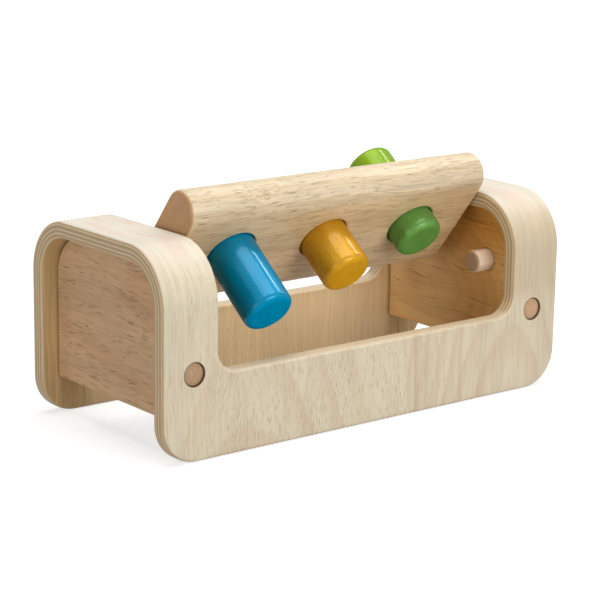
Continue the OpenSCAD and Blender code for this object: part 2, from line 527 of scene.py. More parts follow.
@dataclass(frozen=True)
class WoodFinish:
    """Solid wood, sanded and oiled.

    Attributes:
        name: Name of the finish.
        early: Colour of the early wood.
        late: Colour of the late wood.
        pore: Colour in the pores.
        end: Colour that end grain turns to.
        rings: Growth rings.
        pores: Layers of open pores.
        sway: How far the grain sways, and the length and width of its waves.
        figure: How much of the late wood's colour shows.
        streak: Strength of the streaks along the grain.
        gloss: Roughness of the oiled face.
        shine: Strength of its reflections.
        fibre: Pattern of the fibres.
        streaks: Pattern of the streaks.
        bands: Pattern of the broad bands of tone.
        streaky: Strength of the streaks beside the fibres and the bands.
        filled: How much of the pores' colour shows.
        cut_end: How much of the end grain's colour shows.
        hollow: How much rougher the hollows are than the face.
        relief: Depth of the relief.
    """

    name: str
    early: Colour
    late: Colour
    pore: Colour
    end: Colour
    rings: Rings
    pores: Layers
    sway: Tuple[float, float, float] = (2.5, 60.0, 14.0)
    figure: float = 0.6
    streak: float = 0.3
    gloss: float = 0.5
    shine: float = 0.32
    fibre: Clouds = Clouds(along=24.0, across=0.45, detail=3.0, roughness=0.6)
    streaks: Clouds = Clouds(along=75.0, across=2.4, detail=3.0, roughness=0.6)
    bands: Clouds = Clouds(along=150.0, across=15.0)
    streaky: float = 1.2
    filled: float = 0.85
    cut_end: float = 0.7
    hollow: float = 0.25
    relief: float = 0.12

    def lay(
        self, shader: Shader, grain: Grain, end: Number = 0.0, bulge: Number = 0.0
    ) -> Tuple[Socket, Socket]:
        """Work out the colour and the relief of the wood.

        Args:
            shader: The finish's nodes.
            grain: Place in the wood.
            end: 1 where the piece is cut across the grain.
            bulge: How far something nearby pushes the grain aside.

        Returns:
            The colour, and the height of the surface from 0 to 1.
        """
        swaying = grain.wavy(*self.sway)
        swaying = Grain(swaying.along, swaying.across + bulge, swaying.depth)
        fibre = self.fibre.over(swaying)
        pores = open_pores(self.pores, swaying)
        colour = shader.mix(self.rings.late_wood(swaying) * self.figure, self.early, self.late)
        tone = (fibre - MIDDLE) * self.streak
        tone = tone + self.streaks.tone(swaying) * (self.streaky * self.streak)
        tone = tone + self.bands.tone(swaying) * self.streak
        colour = shader.shade(colour, tone + 1.0)
        colour = shader.mix(pores * self.filled, colour, self.pore)
        colour = shader.mix(end * self.cut_end, colour, self.end)
        return colour, surface_height(fibre, pores)

    def material(self, shader: Shader, colour: Socket, height: Socket) -> bpy.types.Material:
        """Close the finish with an oiled surface.

        Args:
            shader: The finish's nodes.
            colour: Base colour.
            height: Height of the surface from 0 to 1.

        Returns:
            The finished material.
        """
        roughness = (1 - height) * self.hollow + self.gloss
        relief = shader.bump(height, self.relief)
        shader.surface(colour, roughness, relief, Specular_IOR_Level=self.shine)
        return shader.owner


def new_finish(name: str) -> Shader:
    """Start a finish of that name."""
    return Shader(bpy.data.materials.new(name))


def put_on(nodes: Nodes, names: List[str], material: bpy.types.Material) -> None:
    """Give pieces a finish.

    Args:
        nodes: The bench's pieces by name.
        names: Those that take the finish.
        material: The finish.
    """
    for name in names:
        nodes[name].material_slots[0].material = material
        LOG.info("%s: %s", name, material.name)


@dataclass(frozen=True)
class BenchSizes:
    """Sizes and places that several finishes go by, in millimetres, most of them measured on the solids.

    Attributes:
        half_depth: From the middle to the outer face of a wall.
        height: Height of the bent frame.
        fixing_place: X and z of the fixing dowels, on both sides.
        fixing_radius: Radius of a fixing dowel.
        stop_place: Y and z of the stop dowels, on both sides.
        stop_tip: From the middle of the bench to the tip of a stop dowel.
        board_height: Height of the middle of an end board.
        board_inner: From the middle of the bench to a board's inner face.
        board_outer: From the middle of the bench to a board's outer face.
        plank_half: From the middle of the plank to an end.
        pivot_height: Height of the plank's pivot.
        pounding: Y and z of the direction in which a peg is pounded, as a length of 1.
        bend_radius: Outer radius of the frame's two bends.
        thickness: Thickness of the bent sheet.
    """

    half_depth: float
    height: float
    fixing_place: Tuple[float, float]
    fixing_radius: float
    stop_place: Tuple[float, float]
    stop_tip: float
    board_height: float
    board_inner: float
    board_outer: float
    plank_half: float
    pivot_height: float
    pounding: Tuple[float, float]
    bend_radius: float = 29.0
    thickness: float = 8.75

    @property
    def bend_height(self) -> float:
        """Height at which the bends start."""
        return self.height - self.bend_radius

    @property
    def flat_half(self) -> float:
        """From the middle to where the bends start."""
        return self.half_depth - self.bend_radius

    @staticmethod
    def corners(name: str) -> Tuple[Vector, Vector]:
        """Give the lowest and the highest corner of a piece."""
        low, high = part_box(name)
        return Vector(low) / MM, Vector(high) / MM

    @classmethod
    def middle(cls, name: str) -> Vector:
        """Give the middle of a piece."""
        low, high = cls.corners(name)
        return (low + high) / 2

    @classmethod
    def measured(cls, frame: Frame) -> "BenchSizes":
        """Measure the solids.

        Args:
            frame: The solids and their joints, as they were packed.

        Returns:
            The sizes.
        """
        joints = {joint["name"]: joint for joint in frame["record"]["behaviour"]["joints"]}
        _, _, pivot_height = joints["plank_turn"]["pos_m"]
        _, front, down = joints["blue_slide"]["axis"]
        _, frame_high = cls.corners("bent_ply_frame")
        fixing = cls.middle("back_right_fixing_dowel")
        _, fixing_high = cls.corners("back_right_fixing_dowel")
        stop = cls.middle("back_right_stop_dowel")
        stop_low, _ = cls.corners("back_right_stop_dowel")
        board_low, board_high = cls.corners("right_end_panel")
        _, plank_high = cls.corners("turning_plank")
        return cls(
            half_depth=frame_high.y,
            height=frame_high.z,
            fixing_place=(fixing.x, fixing.z),
            fixing_radius=fixing_high.z - fixing.z,
            stop_place=(stop.y, stop.z),
            stop_tip=stop_low.x,
            board_height=cls.middle("right_end_panel").z,
            board_inner=board_low.x,
            board_outer=board_high.x,
            plank_half=plank_high.x,
            pivot_height=pivot_height / MM,
            pounding=(front, down),
        )

    def pushed(self, name: str) -> float:
        """Measure how far a peg is pushed through the plank.

        Args:
            name: Name of the peg.

        Returns:
            The distance of its middle from the middle of the plank's thickness.
        """
        front, down = self.pounding
        middle = self.middle(name)
        return middle.y * front + (middle.z - self.pivot_height) * down


@dataclass(frozen=True)
class VeneerFinish:
    """The bent sheet's veneer, whose face is made of two leaves, and its plies.

    Attributes:
        left: Colour of the left leaf.
        left_figure: Colour of its figure.
        right: Colour of the right leaf.
        right_figure: Colour of its figure.
        crown: Colour on top of the arches, paler and greyer than the walls: partly paler wood, partly a
            painted sheen from the light above.
        crown_figure: Colour of the figure there.
        stripe: Colour of the straight stripes in the right leaf.
        inner: Colour of the inner face.
        shaded: Painted shade on the inner face under the arches: what is left of its colour there.
        pore: Colour in the pores.
        sawn: Colour of the plies that are sawn along the grain.
        cross: Colour of the plies between them.
        flat_cut: Colour of the sill and the feet, which cut the veneers across the grain.
        scorch: Colour at the rims of the drilled holes.
        fibre: Pattern of the fibres.
        streaks: Pattern of the streaks.
        bands: Pattern of the broad bands of tone.
        stripes: Pattern of the right leaf's stripes.
        flame: Pattern of the crown's figure.
        figure: How much of a leaf's figure shows.
        striped: How much of the stripes shows at the right end, and how much more towards the joint.
        upright: How much of the stripes' colour lies over the right arch, as painted shade there.
        flamed: How much of the crown's figure shows.
        fibrous: Strength of the fibres, and how much more it is on the inner face.
        streaky: Strength of the streaks, and how much more it is on the inner face and under the arches.
        banded: Strength of the bands.
        filled: How much of the pores' colour shows.
        fainter: How much fainter the pores are in the right leaf, on the inner face and on the crown.
        flat: How much of the flat cut's colour shows.
        scorched: How much of the scorch shows.
        gloss: Roughness of the oiled face.
        hollow: How much rougher the hollows are.
        shine: Strength of the reflections.
        relief: Depth of the relief.
    """

    left: Colour = seen(226, 213, 186)
    left_figure: Colour = seen(215, 191, 163)
    right: Colour = seen(225, 211, 184)
    right_figure: Colour = seen(214, 190, 162)
    crown: Colour = seen(227, 217, 199)
    crown_figure: Colour = seen(229, 208, 190)
    stripe: Colour = seen(206, 184, 150)
    inner: Colour = seen(236, 206, 160)
    shaded: Colour = (0.8, 0.76, 0.64)
    pore: Colour = seen(160, 128, 84)
    sawn: Colour = seen(226, 203, 165)
    cross: Colour = seen(188, 159, 120)
    flat_cut: Colour = seen(231, 213, 183)
    scorch: Colour = seen(88, 54, 28)
    fibre: Clouds = Clouds(along=40.0, across=0.55, detail=3.0, roughness=0.6)
    streaks: Clouds = Clouds(along=90.0, across=2.2, detail=3.0, roughness=0.6)
    bands: Clouds = Clouds(along=220.0, across=16.0)
    stripes: Clouds = Clouds(along=420.0, across=1.4, detail=3.0, roughness=0.65, deep=40.0)
    flame: Clouds = Clouds(along=34.0, across=13.0, detail=1.0)
    figure: float = 0.5
    striped: Tuple[float, float] = (0.2, 0.55)
    upright: float = 0.55
    flamed: float = 0.8
    fibrous: Tuple[float, float] = (0.3, 0.2)
    streaky: Tuple[float, float, float] = (0.22, 0.1, 0.5)
    banded: float = 0.2
    filled: float = 0.56
    fainter: Tuple[float, float, float] = (0.4, 0.5, 0.6)
    flat: float = 0.6
    scorched: float = 0.85
    gloss: float = 0.46
    hollow: float = 0.25
    shine: float = 0.35
    relief: float = 0.08


@dataclass(frozen=True)
class PlyEdges:
    """The plies, as the sawn edges of the bent sheet show them.

    Attributes:
        changes: Depths at which the plies change, from the outer face in.
        blur: Depth over which one ply turns to the next, to either side.
        stray: How far the plies stray in depth, and the pattern of that.
        worn: How clear the plies are at least, how much more in places, and the pattern of that.
        speck: Strength of the specks of end grain, and their pattern.
        seams: Depth, half width and strength of the glue lines that show on the sill and the feet.
        full: Distance from a glue line's middle within which it is full.
        outer_rim: Depth over which the outer face turns to the edge.
        inner_rim: Depth from the inner face over which that face turns to the edge.
        sill: Half the window's width and the height of its sill.
        sill_fade: Distance from that height over which the sill turns to a flat cut.
        sill_corner: Length of the sill's round corner.
        foot_fade: Height over which the foot turns to a flat cut.
    """

    changes: Tuple[float, ...] = (1.25, 2.15, 3.5, 4.45, 5.6, 6.5, 7.7, 8.6)
    blur: float = 0.25
    stray: Tuple[float, Clouds] = (0.5, Clouds(along=24.0, across=24.0))
    worn: Tuple[float, float, Clouds] = (0.55, 0.7, Clouds(along=16.0, across=16.0, deep=1.5))
    speck: Tuple[float, Clouds] = (0.22, Clouds(along=1.1, across=1.1, deep=0.5))
    seams: Tuple[Tuple[float, float, float], ...] = ((7.1, 0.4, 1.0), (5.4, 0.3, 0.6))
    full: float = 0.1
    outer_rim: Fade = (0.25, 0.8)
    inner_rim: Fade = (0.2, 0.6)
    sill: Tuple[float, float] = (97.4, 42.4)
    sill_fade: Fade = (3.2, 1.2)
    sill_corner: float = 7.0
    foot_fade: Fade = (2.6, 0.8)

    def level(self, shader: Shader) -> Socket:
        """Find the level edges, which are the sill and the feet.

        Args:
            shader: The finish's nodes.

        Returns:
            1 on a level edge, 0 elsewhere.
        """
        x, _, z = shader.place()
        half, height = self.sill
        sill = abs(z - height).step(*self.sill_fade) * abs(x).step(half, half - self.sill_corner)
        return sill.at_least(z.step(*self.foot_fade))

    def lay(
        self, shader: Shader, look: VeneerFinish, thickness: float, grain: Grain, face: Socket
    ) -> Socket:
        """Lay the plies over the sawn edges.

        Args:
            shader: The finish's nodes.
            look: The veneer's colours.
            thickness: Thickness of the sheet.
            grain: Place in the flat sheet.
            face: Colour of the sheet's faces.

        Returns:
            Colour of the faces and the edges.
        """
        stray, wander = self.stray
        depth = grain.depth + wander.tone(grain) * stray
        pale: Number = 0.0
        for number, change in enumerate(self.changes):
            past = depth.step(change - self.blur, change + self.blur)
            pale = pale + past if number % 2 == 0 else pale - past
        least, more, wear = self.worn
        worn = wear.over(grain)
        colour = shader.mix(pale * (worn * more + least), look.cross, look.sawn)
        level = self.level(shader)
        colour = shader.mix(level * look.flat, colour, look.flat_cut)
        seams: Number = 0.0
        for place, half, strength in self.seams:
            seams = (abs(depth - place).step(half, self.full) * strength).at_least(seams)
        colour = shader.mix(seams * level * worn, colour, look.cross)
        strength, specks = self.speck
        colour = shader.shade(colour, specks.tone(grain) * strength + 1.0)
        sawn = grain.depth.step(*self.outer_rim) * (thickness - grain.depth).step(*self.inner_rim)
        return shader.mix(sawn, face, colour)


@dataclass
class BentFrame:
    """The sheet of plywood that is bent to an upside-down U.

    A length along the sheet counts from the nearer foot.

    Attributes:
        sizes: Sizes of the solids.
        edges: The plies on the sawn edges.
        finish: The veneer.
        leaf_edge: Where the two leaves of veneer meet at the foot of a wall.
        leaf_lean: How far that edge moves for each millimetre along the sheet.
        leaf_blur: Half the width of the joint.
        scorch_fade: Distance from a dowel's side over which the rim of its hole is scorched.
        left_figure: Growth rings of the left leaf.
        left_middle: X of the middle of its figure.
        left_fade: Distance from there over which the figure comes in.
        left_top: Length along the sheet over which it comes in, downwards.
        right_figure: Growth rings of the right leaf.
        right_top: Length along the sheet over which its figure comes in, downwards.
        stripe_cut: How much of the pattern makes a stripe.
        stripe_fade: X over which the stripes grow stronger, towards the joint.
        upright_fade: X over which the right arch takes the stripes' colour, which is painted shade there.
        upright_foot: Length along the sheet over which it does so.
        flame_cut: How much of the pattern makes the crown's figure.
        crown_fade: Length along the sheet over which it turns to the crown.
        inside: Depth over which the outer face turns to the inner one.
        under_arch: X over which the inner face is shaded.
        pore_fade: Length along the sheet over which the pores grow faint.
        sway: How far the grain sways, and the length and width of its waves.
        dashes: Pores where the veneer is cut flat, in the middle of a wall.
        dash_middle: X of the middle of the dashes.
        dash_fade: Distance from there over which they turn to lines.
        dash_loss: Share of the dashes' strength that is lost at the arches.
        lines: Pores where it is cut on edge, at the arches.
        line_share: How much the lines show among the dashes, and how much more at the arches.
    """

    sizes: BenchSizes
    edges: PlyEdges = PlyEdges()
    finish: VeneerFinish = VeneerFinish()
    leaf_edge: float = 23.8
    leaf_lean: float = -0.067
    leaf_blur: float = 0.2
    scorch_fade: Fade = (0.5, 0.1)
    left_figure: Rings = Rings(heart=(-80.0, 40.0), spacing=15.0, lean=0.3, wander=2.0, wave=(30.0, 120.0))
    left_middle: float = -60.0
    left_fade: Fade = (76.0, 40.0)
    left_top: Fade = (58.0, 30.0)
    right_figure: Rings = Rings(heart=(96.0, 40.0), spacing=8.0, lean=0.2, wander=2.0, wave=(26.0, 140.0))
    right_top: Fade = (80.0, 50.0)
    stripe_cut: Fade = (0.45, 0.7)
    stripe_fade: Fade = (105.0, 30.0)
    upright_fade: Fade = (88.0, 100.0)
    upright_foot: Fade = (44.0, 60.0)
    flame_cut: Fade = (0.5, 0.62)
    crown_fade: Fade = (84.0, 120.0)
    inside: Fade = (3.0, 6.0)
    under_arch: Fade = (96.0, 106.0)
    pore_fade: Fade = (80.0, 110.0)
    sway: Tuple[float, float, float] = (3.0, 42.0, 18.0)
    dashes: Layers = (
        Pores(along=6.5, across=0.58, size=0.27, kept=0.8, patch=14.0),
        Hairs(along=7.0, across=0.42, cut=0.54, patch=14.0, strength=0.5),
    )
    dash_middle: float = -24.0
    dash_fade: Fade = (66.0, 92.0)
    dash_loss: float = 0.7
    lines: Layers = (
        Pores(along=18.0, across=1.0, size=0.2, kept=0.5, patch=8.0),
        Hairs(along=24.0, across=0.5, cut=0.54, patch=10.0, strength=0.5),
    )
    line_share: Tuple[float, float] = (0.2, 0.8)

    def sheet_place(self, shader: Shader) -> Tuple[Grain, Socket]:
        """Unroll the bent sheet.

        Args:
            shader: The finish's nodes.

        Returns:
            The place in the flat sheet, and the length along it from the nearer foot.
        """
        x, y, z = shader.place()
        flat, start, radius = self.sizes.flat_half, self.sizes.bend_height, self.sizes.bend_radius
        over_y = (abs(y) - flat).at_least(0.0)
        over_z = (z - start).at_least(0.0)
        turn = shader.math("ARCTAN2", over_z, over_y)
        path = z.at_most(start) + turn * radius + (flat - abs(y)).at_least(0.0)
        half_path = start + radius * math.pi / 2 + flat
        depth = radius - over_y.hypot(over_z)
        return Grain(y.sign() * (half_path - path), x, depth), path

    def left_leaf(self, shader: Shader, rising: Grain) -> Socket:
        """Work out the colour of the left leaf, which is cut flat.

        Args:
            shader: The finish's nodes.
            rising: Place in the sheet, counted up from the nearer foot.

        Returns:
            The colour.
        """
        look = self.finish
        near = abs(rising.across - self.left_middle).step(*self.left_fade) * rising.along.step(*self.left_top)
        figure = self.left_figure.late_wood(rising) * near
        return shader.mix(figure * look.figure, look.left, look.left_figure)

    def right_leaf(self, shader: Shader, grain: Grain, rising: Grain) -> Socket:
        """Work out the colour of the right leaf, which is striped.

        Args:
            shader: The finish's nodes.
            grain: Place in the flat sheet.
            rising: The same, counted up from the nearer foot.

        Returns:
            The colour.
        """
        look = self.finish
        figure = self.right_figure.late_wood(rising) * rising.along.step(*self.right_top)
        colour = shader.mix(figure * look.figure, look.right, look.right_figure)
        least, more = look.striped
        stripes = look.stripes.over(grain).step(*self.stripe_cut)
        strength = grain.across.step(*self.stripe_fade) * more + least
        colour = shader.mix(stripes * strength, colour, look.stripe)
        # Painted shade: the right arch is darkened with the stripes' colour.
        upright = grain.across.step(*self.upright_fade) * rising.along.step(*self.upright_foot)
        return shader.mix(upright * look.upright, colour, look.stripe)

    def face_colour(self, shader: Shader, grain: Grain, path: Socket, pores: Socket, fibre: Socket) -> Socket:
        """Work out the colour of the two faces.

        Args:
            shader: The finish's nodes.
            grain: Place in the flat sheet, in swaying grain.
            path: Length along the sheet from the nearer foot.
            pores: 1 in a pore.
            fibre: Pattern of the fibres.

        Returns:
            The colour.
        """
        look = self.finish
        rising = Grain(path, grain.across, grain.depth)
        joint = grain.across - path * self.leaf_lean - self.leaf_edge
        leaf = joint.step(-self.leaf_blur, self.leaf_blur)
        leaves = shader.mix(leaf, self.left_leaf(shader, rising), self.right_leaf(shader, grain, rising))
        flame = look.flame.over(grain).step(*self.flame_cut)
        # The crown's paler colour is partly paler wood and partly a painted sheen where the light falls from
        # above.
        crown = shader.mix(flame * look.flamed, look.crown, look.crown_figure)
        colour = shader.mix(path.step(*self.crown_fade), leaves, crown)
        inside = grain.depth.step(*self.inside)
        arch = inside * abs(grain.across).step(*self.under_arch)
        colour = shader.mix(inside, colour, look.inner)
        fibrous, fibrous_inside = look.fibrous
        streaky, streaky_inside, streaky_arch = look.streaky
        tone = (fibre - MIDDLE) * (inside * fibrous_inside + fibrous)
        tone = tone + look.streaks.tone(grain) * (inside * streaky_inside + arch * streaky_arch + streaky)
        tone = tone + look.bands.tone(grain) * look.banded
        # Painted shade: the inner face under the arches is darkened.
        colour = shader.mix(arch, shader.shade(colour, tone + 1.0), look.shaded, "MULTIPLY")
        right, inner, top = look.fainter
        shown = (1 - leaf * right) * (1 - inside * inner) * (1 - path.step(*self.pore_fade) * top)
        return shader.mix(pores * shown * look.filled, colour, look.pore)

    def open_grain(self, grain: Grain) -> Socket:
        """Find the pores, which are dashes in the middle of a wall and lines at the arches.

        Args:
            grain: Place in the flat sheet, in swaying grain.

        Returns:
            1 in a pore, 0 outside.
        """
        on_edge = abs(grain.along.shader.place()[0] - self.dash_middle).step(*self.dash_fade)
        least, more = self.line_share
        dashes = open_pores(self.dashes, grain) * (1 - on_edge * self.dash_loss)
        return dashes.at_least(open_pores(self.lines, grain) * (on_edge * more + least))

    def dress(self, nodes: Nodes) -> None:
        """Give the sheet its veneer, its plies and its scorched holes.

        Args:
            nodes: The bench's pieces by name.
        """
        look = self.finish
        shader = new_finish("bent_plywood")
        grain, path = self.sheet_place(shader)
        swaying = grain.wavy(*self.sway)
        pores = self.open_grain(swaying)
        fibre = look.fibre.over(swaying)
        colour = self.face_colour(shader, swaying, path, pores, fibre)
        colour = self.edges.lay(shader, look, self.sizes.thickness, grain, colour)
        x, _, z = shader.place()
        hole_x, hole_z = self.sizes.fixing_place
        outside = (abs(x) - hole_x).hypot(z - hole_z) - self.sizes.fixing_radius
        colour = shader.mix(outside.step(*self.scorch_fade) * look.scorched, colour, look.scorch)
        height = surface_height(fibre, pores)
        roughness = (1 - height) * look.hollow + look.gloss
        shader.surface(colour, roughness, shader.bump(height, look.relief), Specular_IOR_Level=look.shine)
        put_on(nodes, ["bent_ply_frame"], shader.owner)


@dataclass
class EndPanels:
    """The two boards between the walls, with their grain from front to back.

    Attributes:
        sizes: Sizes of the solids.
        gap_shade: Painted shade in the narrow gap between a board and the frame or a dowel.
        gap_shade_share: How much of that painted shade shows.
        gap_shade_fade: Distance from the frame over which it shows.
        socket_fade: Distance from a stop dowel's axis over which it shows.
        inner_skin: Depth from the inner face over which it shows round a dowel.
        left_finish: Wood of the left board.
        right_finish: Wood of the right board.
        board_shade: What is left of the right board's colour where shade is painted on it, towards the top
            and the front.
        board_shade_height: Height over which the painted shade comes in.
        board_shade_front: Y over which it comes in, towards the front.
        board_shade_share: How much of the painted shade shows in front.
    """

    sizes: BenchSizes
    gap_shade: Colour = seen(74, 46, 22)
    gap_shade_share: float = 0.9
    gap_shade_fade: Fade = (1.5, 0.2)
    socket_fade: Fade = (6.7, 6.1)
    inner_skin: Fade = (2.0, 1.0)
    left_finish: WoodFinish = WoodFinish(
        name="left_board",
        early=seen(216, 177, 135),
        late=seen(206, 161, 120),
        pore=seen(134, 88, 56),
        end=seen(170, 126, 90),
        rings=Rings(heart=(20.0, 70.0), spacing=14.0, lean=0.12, wander=6.0, wave=(28.0, 90.0)),
        pores=(
            Pores(along=14.0, across=0.85, size=0.2, kept=0.62, patch=12.0),
            Hairs(along=12.0, across=0.45, cut=0.55, patch=12.0, strength=0.45),
        ),
        sway=(3.0, 60.0, 24.0),
        figure=0.7,
        streak=0.42,
    )
    right_finish: WoodFinish = WoodFinish(
        name="right_board",
        early=seen(255, 211, 148),
        late=seen(234, 182, 119),
        pore=seen(160, 104, 56),
        end=seen(170, 126, 90),
        rings=Rings(
            heart=(-13.0, 26.0), spacing=5.5, lean=0.0, wander=3.0, wave=(22.0, 50.0), crest=22.0, bow=0.006
        ),
        pores=(
            Pores(along=6.0, across=0.8, size=0.2, kept=0.2, patch=12.0),
            Hairs(along=46.0, across=1.4, cut=0.62, patch=9.0, strength=0.5),
        ),
        sway=(4.0, 34.0, 12.0),
        figure=0.3,
        streak=0.32,
    )
    board_shade: Colour = (0.63, 0.46, 0.2)
    board_shade_height: Fade = (48.0, 84.0)
    board_shade_front: Fade = (12.0, -22.0)
    board_shade_share: float = 0.7

    def seams(self, shader: Shader) -> Socket:
        """Find the narrow gaps along the frame and round the stop dowels, where shade is painted.

        Args:
            shader: The finish's nodes.

        Returns:
            1 beside a gap, 0 elsewhere.
        """
        x, y, z = shader.place()
        sizes = self.sizes
        over_y = (abs(y) - sizes.flat_half).at_least(0.0)
        over_z = (z - sizes.bend_height).at_least(0.0)
        inset = sizes.bend_radius - sizes.thickness - over_y.hypot(over_z)
        away = (abs(y) - sizes.stop_place[0]).hypot(z - sizes.stop_place[1])
        skin = (abs(x) - sizes.board_inner).step(*self.inner_skin)
        return inset.step(*self.gap_shade_fade).at_least(away.step(*self.socket_fade) * skin)

    def dress_board(self, nodes: Nodes, name: str, finish: WoodFinish, face: float) -> None:
        """Give one board its wood.

        Args:
            nodes: The bench's pieces by name.
            name: Name of the board.
            finish: Its wood.
            face: X of the face that is seen.
        """
        shader = new_finish(finish.name)
        x, y, z = shader.place()
        colour, height = finish.lay(shader, Grain(y, z - self.sizes.board_height, x - face))
        if finish is self.right_finish:
            # Painted shade: the right board is darkened towards the top and the front.
            dark = z.step(*self.board_shade_height).at_least(y.step(*self.board_shade_front) * self.board_shade_share)
            colour = shader.mix(dark, colour, self.board_shade, "MULTIPLY")
        # Painted shade in the gaps along the frame and round the stop dowels.
        colour = shader.mix(self.seams(shader) * self.gap_shade_share, colour, self.gap_shade)
        put_on(nodes, [name], finish.material(shader, colour, height))

    def dress(self, nodes: Nodes) -> None:
        """Give both boards their wood.

        Args:
            nodes: The bench's pieces by name.
        """
        self.dress_board(nodes, "left_end_panel", self.left_finish, -self.sizes.board_outer)
        self.dress_board(nodes, "right_end_panel", self.right_finish, self.sizes.board_inner)


class DowelKind(Enum):
    """The dowels of the bench, by what they do."""

    FIXING = "fixing"
    STOP = "stop"
    PIVOT = "pivot"


@dataclass
class Dowels:
    """The round dowels that hold the boards, stop the plank and carry it.

    Attributes:
        sizes: Sizes of the solids.
        fixing_end: Depth from the outer face of a wall over which a fixing dowel is end grain.
        tip_end: Depth from the tip of a stop dowel over which it is end grain.
        tip_shade: How much painted shade darkens the end grain there.
        scorch: Colour of the rim that the drill has burnt.
        scorched: How much of that colour shows.
        rim_fade: Depth from a fixing dowel's side over which it shows.
        speck_size: Size of the specks in a fixing dowel's end, sideways, upwards and along it.
        speckled: Strength of the specks.
        left_fade: X over which the painted shade on the dowels of the left end begins.
        left_dowel_shade: How much darker that painted shade makes them.
        finish: Wood of the dowels.
    """

    sizes: BenchSizes
    fixing_end: Fade = (2.2, 0.8)
    tip_end: Fade = (1.6, 0.3)
    tip_shade: float = 0.25
    scorch: Colour = seen(84, 50, 26)
    scorched: float = 0.9
    rim_fade: Fade = (0.8, 0.2)
    speck_size: Tuple[float, float, float] = (1.6, 0.5, 20.0)
    speckled: float = 0.7
    left_fade: Fade = (5.0, -5.0)
    left_dowel_shade: float = 0.2
    finish: WoodFinish = WoodFinish(
        name="dowel_wood",
        early=seen(246, 224, 198),
        late=seen(236, 208, 178),
        pore=seen(150, 108, 76),
        end=seen(182, 130, 75),
        rings=Rings(heart=(14.0, 9.0), spacing=3.4, lean=0.02, wander=0.6, wave=(8.0, 60.0)),
        pores=(
            Pores(along=7.0, across=0.7, size=0.2, kept=0.4, patch=5.0),
            Hairs(along=6.0, across=0.7, cut=0.64, patch=5.0),
        ),
        sway=(0.6, 40.0, 8.0),
        gloss=0.42,
    )

    def dress_fixing(self, nodes: Nodes) -> None:
        """Give the fixing dowels their wood, with a burnt rim and specks in the end grain.

        Args:
            nodes: The bench's pieces by name.
        """
        shader = new_finish(DowelKind.FIXING.value + "_" + self.finish.name)
        x, y, z = shader.place()
        side, up = abs(x) - self.sizes.fixing_place[0], z - self.sizes.fixing_place[1]
        end = (self.sizes.half_depth - abs(y)).step(*self.fixing_end)
        colour, height = self.finish.lay(shader, Grain(y, side, up), end)
        wide, high, deep = self.speck_size
        speck = shader.noise(shader.vector(side / wide, up / high, y / deep), detail=3.0, roughness=0.7)
        # Painted shade: the fixing dowels of the left end are darkened.
        darker = x.step(*self.left_fade) * self.left_dowel_shade
        colour = shader.shade(colour, (speck - MIDDLE) * self.speckled + 1.0 - darker)
        rim = (self.sizes.fixing_radius - side.hypot(up)).step(*self.rim_fade)
        colour = shader.mix(rim * self.scorched, colour, self.scorch)
        self.put_on_kind(nodes, DowelKind.FIXING, self.finish.material(shader, colour, height))

    def dress_inner(self, nodes: Nodes, kind: DowelKind, place: Tuple[float, float]) -> None:
        """Give the dowels in the boards' inner faces their wood.

        Args:
            nodes: The bench's pieces by name.
            kind: Which dowels.
            place: Their y and z.
        """
        shader = new_finish(kind.value + "_" + self.finish.name)
        x, y, z = shader.place()
        end = (abs(x) - self.sizes.stop_tip).step(*self.tip_end)
        colour, height = self.finish.lay(shader, Grain(x, abs(y) - place[0], z - place[1]), end)
        # Painted shade on the tip's end grain.
        colour = shader.shade(colour, 1 - end * self.tip_shade)
        self.put_on_kind(nodes, kind, self.finish.material(shader, colour, height))

    def put_on_kind(self, nodes: Nodes, kind: DowelKind, material: bpy.types.Material) -> None:
        """Give all dowels of one kind a finish."""
        put_on(nodes, [name for name in nodes if name.endswith(kind.value + "_dowel")], material)

    def dress(self, nodes: Nodes) -> None:
        """Give every dowel its wood.

        Args:
            nodes: The bench's pieces by name.
        """
        self.dress_fixing(nodes)
        self.dress_inner(nodes, DowelKind.STOP, self.sizes.stop_place)
        self.dress_inner(nodes, DowelKind.PIVOT, (0.0, self.sizes.pivot_height))


@dataclass(frozen=True)
class PinKnot:
    """A pin knot in the plank's upper edge.

    Attributes:
        along: Its place along the plank.
        across: Its place across the plank.
        depth: Its place in the plank's thickness, from the middle.
        radius: Its radius.
        pith: Distance from its middle over which its pith shows, in radii.
        ring: Distance of its dark ring, in radii.
        ring_fade: Distance from the ring over which it shows, in radii.
        ring_share: Strength of the ring beside the pith.
        edge_fade: Place across the plank over which the knot comes in, towards the edge.
        shown: How much of its colour shows.
        reach: Length and width of the wood that it bends.
        reach_fade: Distance over which it bends the wood, in those lengths.
        front_fade: Place in the plank's thickness over which it does so, towards the front.
        push: How far it pushes the grain aside.
    """

    along: float = -50.2
    across: float = -48.1
    depth: float = -4.5
    radius: float = 2.0
    pith: Fade = (0.45, 0.2)
    ring: float = 0.9
    ring_fade: Fade = (0.3, 0.05)
    ring_share: float = 0.6
    edge_fade: Fade = (-40.0, -44.0)
    shown: float = 0.6
    reach: Tuple[float, float] = (7.0, 5.0)
    reach_fade: Fade = (2.2, 0.0)
    front_fade: Fade = (2.0, -2.0)
    push: float = 1.6

    def bulge(self, x: Socket, across: Socket, depth: Socket) -> Socket:
        """Work out how far the knot pushes the grain aside.

        Args:
            x: Place along the plank.
            across: Place across it.
            depth: Place in its thickness, from the middle.

        Returns:
            The distance.
        """
        long, wide = self.reach
        near = ((x - self.along) / long).hypot((across - self.across) / wide)
        return near.step(*self.reach_fade) * self.push * depth.step(*self.front_fade)

    def spot(self, x: Socket, across: Socket, depth: Socket) -> Socket:
        """Find the knot itself.

        Args:
            x: Place along the plank.
            across: Place across it.
            depth: Place in its thickness, from the middle.

        Returns:
            How much of its colour shows.
        """
        away = ((x - self.along) / self.radius).hypot((depth - self.depth) / self.radius)
        ring = abs(away - self.ring).step(*self.ring_fade) * self.ring_share
        return away.step(*self.pith).at_least(ring) * across.step(*self.edge_fade) * self.shown


